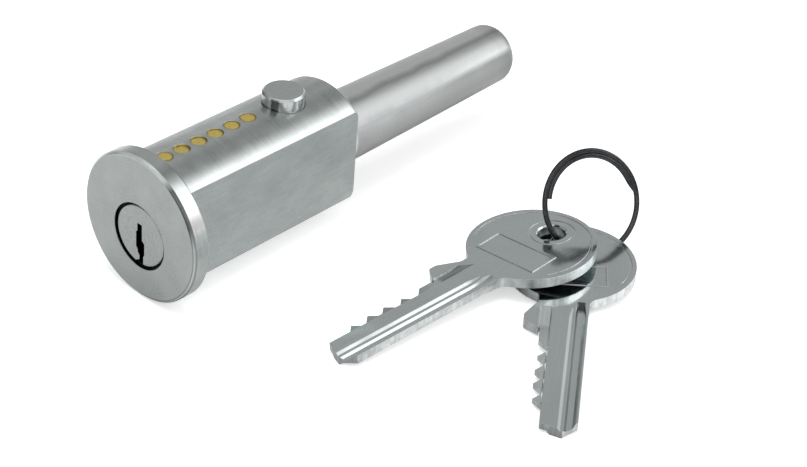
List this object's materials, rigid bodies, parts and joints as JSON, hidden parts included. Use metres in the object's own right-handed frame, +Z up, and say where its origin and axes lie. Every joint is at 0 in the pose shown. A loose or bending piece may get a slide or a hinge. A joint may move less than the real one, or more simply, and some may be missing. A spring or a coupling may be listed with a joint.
{
  "type": "cylinder shutter lock",
  "caption": "Bullet lock for a roller shutter: flanged double-D barrel with a key plug, retracting stud and locating rod, and flat keys on a split ring.",
  "frame": {"origin": "on the barrel's axis in the plane of the flange's back face, where the lock seats", "axes": "+X along the barrel from the flange to the rod's tip, +Z up through the stud and the pin caps, flats at +Y and -Y"},
  "size_m": [0.102, 0.0967, 0.0303],
  "materials": {
    "barrel_nickel": "satin nickel plate",
    "plug_nickel": "satin nickel plate",
    "stud_nickel": "bright nickel plate",
    "key_nickel": "polished nickel plate",
    "brass": "turned",
    "steel": "bare",
    "ring_steel": "dark drawn wire"
  },
  "bodies": {
    "lock_body": {"housing": "barrel_nickel", "rod": "barrel_nickel", "retaining_pin": "steel", "cap_1": "brass", "cap_2": "brass", "cap_3": "brass", "cap_4": "brass", "cap_5": "brass", "cap_6": "brass", "spring_1": "steel", "spring_2": "steel", "spring_3": "steel", "spring_4": "steel", "spring_5": "steel", "spring_6": "steel"},
    "key_plug": {"plug": "plug_nickel", "tail_cam": "steel", "cam_screws": "steel"},
    "stud": {"locking_stud": "stud_nickel"},
    "lower_pin_1": {"key_pin_1": "brass"},
    "upper_pin_1": {"driver_pin_1": "brass"},
    "lower_pin_2": {"key_pin_2": "brass"},
    "upper_pin_2": {"driver_pin_2": "brass"},
    "lower_pin_3": {"key_pin_3": "brass"},
    "upper_pin_3": {"driver_pin_3": "brass"},
    "lower_pin_4": {"key_pin_4": "brass"},
    "upper_pin_4": {"driver_pin_4": "brass"},
    "lower_pin_5": {"key_pin_5": "brass"},
    "upper_pin_5": {"driver_pin_5": "brass"},
    "lower_pin_6": {"key_pin_6": "brass"},
    "upper_pin_6": {"driver_pin_6": "brass"},
    "ring": {"key_ring": "ring_steel"},
    "first_key": {"key_1": "key_nickel"},
    "second_key": {"key_2": "key_nickel"}
  },
  "joints": [
    {"name": "plug_turn", "type": "hinge", "parent": "lock_body", "child": "key_plug", "pos_m": [0, 0, -0.0018], "axis": [1, 0, 0], "range_deg": [0, 180]},
    {"name": "stud_slide", "type": "slide", "parent": "lock_body", "child": "stud", "axis": [0, 0, 1], "range_m": [-0.003, 0]},
    {"name": "lower_pin_1_slide", "type": "slide", "parent": "key_plug", "child": "lower_pin_1", "axis": [0, 0, 1], "range_m": [-0.0027, 0]},
    {"name": "upper_pin_1_slide", "type": "slide", "parent": "lock_body", "child": "upper_pin_1", "axis": [0, 0, 1], "range_m": [-0.0027, 0], "deforming": ["spring_1"]},
    {"name": "lower_pin_2_slide", "type": "slide", "parent": "key_plug", "child": "lower_pin_2", "axis": [0, 0, 1], "range_m": [-0.003, 0]},
    {"name": "upper_pin_2_slide", "type": "slide", "parent": "lock_body", "child": "upper_pin_2", "axis": [0, 0, 1], "range_m": [-0.003, 0], "deforming": ["spring_2"]},
    {"name": "lower_pin_3_slide", "type": "slide", "parent": "key_plug", "child": "lower_pin_3", "axis": [0, 0, 1], "range_m": [-0.0033, 0]},
    {"name": "upper_pin_3_slide", "type": "slide", "parent": "lock_body", "child": "upper_pin_3", "axis": [0, 0, 1], "range_m": [-0.0033, 0], "deforming": ["spring_3"]},
    {"name": "lower_pin_4_slide", "type": "slide", "parent": "key_plug", "child": "lower_pin_4", "axis": [0, 0, 1], "range_m": [-0.003, 0]},
    {"name": "upper_pin_4_slide", "type": "slide", "parent": "lock_body", "child": "upper_pin_4", "axis": [0, 0, 1], "range_m": [-0.003, 0], "deforming": ["spring_4"]},
    {"name": "lower_pin_5_slide", "type": "slide", "parent": "key_plug", "child": "lower_pin_5", "axis": [0, 0, 1], "range_m": [-0.0027, 0]},
    {"name": "upper_pin_5_slide", "type": "slide", "parent": "lock_body", "child": "upper_pin_5", "axis": [0, 0, 1], "range_m": [-0.0027, 0], "deforming": ["spring_5"]},
    {"name": "lower_pin_6_slide", "type": "slide", "parent": "key_plug", "child": "lower_pin_6", "axis": [0, 0, 1], "range_m": [-0.0027, 0]},
    {"name": "upper_pin_6_slide", "type": "slide", "parent": "lock_body", "child": "upper_pin_6", "axis": [0, 0, 1], "range_m": [-0.0027, 0], "deforming": ["spring_6"]},
    {"name": "ring_lift", "type": "slide", "parent": "lock_body", "child": "ring", "axis": [0, 0, 1], "range_m": [0, 0.03]},
    {"name": "first_key_swing", "type": "hinge", "parent": "ring", "child": "first_key", "pos_m": [0.06371, -0.04449, -0.01007], "axis": [-0.0574, 0.1185, 0.9913], "range_deg": [0, 20]},
    {"name": "second_key_swing", "type": "hinge", "parent": "ring", "child": "second_key", "pos_m": [0.06667, -0.04779, -0.01268], "axis": [-0.0413, 0.0182, 0.999], "range_deg": [-8, 0]}
  ],
  "couplings": [
    {"joint": "stud_slide", "follows": "plug_turn", "m_per_rad": -0.000954},
    {"joint": "upper_pin_1_slide", "follows": "lower_pin_1_slide", "ratio": 1},
    {"joint": "upper_pin_2_slide", "follows": "lower_pin_2_slide", "ratio": 1},
    {"joint": "upper_pin_3_slide", "follows": "lower_pin_3_slide", "ratio": 1},
    {"joint": "upper_pin_4_slide", "follows": "lower_pin_4_slide", "ratio": 1},
    {"joint": "upper_pin_5_slide", "follows": "lower_pin_5_slide", "ratio": 1},
    {"joint": "upper_pin_6_slide", "follows": "lower_pin_6_slide", "ratio": 1}
  ]
}
